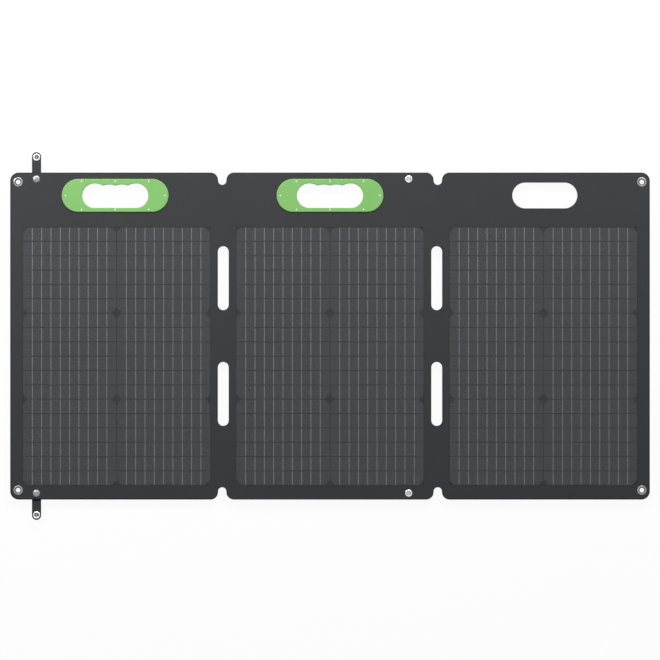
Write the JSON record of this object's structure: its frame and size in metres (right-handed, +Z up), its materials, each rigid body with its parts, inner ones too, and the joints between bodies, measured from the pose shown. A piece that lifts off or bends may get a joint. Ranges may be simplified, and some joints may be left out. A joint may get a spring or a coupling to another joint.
{
  "type": "folding solar panel",
  "caption": "Portable solar panel that folds in three like a letter, with moulded carrying handles, corner eyelets and snap straps that hold it shut.",
  "frame": {"origin": "middle of the surface that the open panel lies on, under the middle of the sheet", "axes": "+X along the three panels from the strap end, +Y towards the handles, +Z up out of the cells"},
  "size_m": [1.15, 0.6614, 0.0149],
  "materials": {
    "dark_laminate": "fine matt grain, film over a dark sheet",
    "woven_back": "coated woven polyester",
    "glass_fibre_board": "pressed glass fibre",
    "dark_underlay": "matt",
    "silicon_cell": "monocrystalline silicon under film",
    "tinned_ribbon": "tinned copper",
    "clear_film": "clear textured fluoropolymer",
    "copper": "bare copper strip",
    "fold_laminate": "flexible laminate, matt",
    "nickel_steel": "nickel plated",
    "green_plastic": "moulded, satin",
    "strap_webbing": "coated webbing",
    "box_plastic": "moulded, fine spark texture",
    "seal_rubber": "matt",
    "circuit_laminate": "solder mask",
    "diode_plastic": "moulded"
  },
  "bodies": {
    "middle_panel": {"bypass_diodes": "diode_plastic", "junction_box_body": "box_plastic", "junction_box_lid": "box_plastic", "junction_box_screws": "nickel_steel", "junction_box_seal": "seal_rubber", "junction_circuit_board": "circuit_laminate", "junction_tabs": "copper", "left_fold_bus": "copper", "left_fold_web": "fold_laminate", "middle_back_skin": "woven_back", "middle_board": "glass_fibre_board", "middle_bus_bars": "copper", "middle_cell_ribbons": "tinned_ribbon", "middle_cell_strips": "silicon_cell", "middle_clear_film": "clear_film", "middle_front_cover": "dark_laminate", "middle_handle_back": "green_plastic", "middle_handle_front": "green_plastic", "middle_handle_screws": "nickel_steel", "middle_underlay": "dark_underlay", "output_jack_housing": "box_plastic", "output_jack_pin": "nickel_steel", "right_fold_bus": "copper", "right_fold_web": "fold_laminate", "snap_stud_posts": "nickel_steel", "snap_studs": "nickel_steel"},
    "left_panel": {"left_back_skin": "woven_back", "left_board": "glass_fibre_board", "left_bus_bars": "copper", "left_cell_ribbons": "tinned_ribbon", "left_cell_strips": "silicon_cell", "left_clear_film": "clear_film", "left_eyelet_washers": "nickel_steel", "left_eyelets": "nickel_steel", "left_front_cover": "dark_laminate", "left_handle_back": "green_plastic", "left_handle_front": "green_plastic", "left_handle_screws": "nickel_steel", "left_underlay": "dark_underlay", "strap_rivet_domes": "nickel_steel", "strap_rivet_plates": "nickel_steel", "strap_roots": "strap_webbing"},
    "right_panel": {"right_back_skin": "woven_back", "right_board": "glass_fibre_board", "right_bus_bars": "copper", "right_cell_ribbons": "tinned_ribbon", "right_cell_strips": "silicon_cell", "right_clear_film": "clear_film", "right_eyelet_washers": "nickel_steel", "right_eyelets": "nickel_steel", "right_front_cover": "dark_laminate", "right_underlay": "dark_underlay"},
    "top_strap_middle": {"top_strap_span": "strap_webbing"},
    "top_strap_end": {"top_strap_tip": "strap_webbing", "top_snap_socket": "nickel_steel", "top_snap_cap": "nickel_steel"},
    "bottom_strap_middle": {"bottom_strap_span": "strap_webbing"},
    "bottom_strap_end": {"bottom_strap_tip": "strap_webbing", "bottom_snap_socket": "nickel_steel", "bottom_snap_cap": "nickel_steel"}
  },
  "joints": [
    {"name": "left_fold", "type": "hinge", "parent": "middle_panel", "child": "left_panel", "pos_m": [-0.1931, 0, 0.0167], "axis": [0, 1, 0], "range_deg": [0, 180], "deforming": ["left_fold_web", "left_fold_bus"]},
    {"name": "right_fold", "type": "hinge", "parent": "middle_panel", "child": "right_panel", "pos_m": [0.1931, 0, 0.0141], "axis": [0, -1, 0], "range_deg": [0, 180], "deforming": ["right_fold_web", "right_fold_bus"]},
    {"name": "top_strap_bend", "type": "hinge", "parent": "left_panel", "child": "top_strap_middle", "pos_m": [-0.5277, 0.2943, 0.01], "axis": [1, 0, 0], "range_deg": [0, 90]},
    {"name": "top_strap_end_bend", "type": "hinge", "parent": "top_strap_middle", "child": "top_strap_end", "pos_m": [-0.5277, 0.3098, 0.01], "axis": [1, 0, 0], "range_deg": [0, 90]},
    {"name": "bottom_strap_bend", "type": "hinge", "parent": "left_panel", "child": "bottom_strap_middle", "pos_m": [-0.5277, -0.2943, 0.01], "axis": [-1, 0, 0], "range_deg": [0, 90]},
    {"name": "bottom_strap_end_bend", "type": "hinge", "parent": "bottom_strap_middle", "child": "bottom_strap_end", "pos_m": [-0.5277, -0.3098, 0.01], "axis": [-1, 0, 0], "range_deg": [0, 90]}
  ]
}
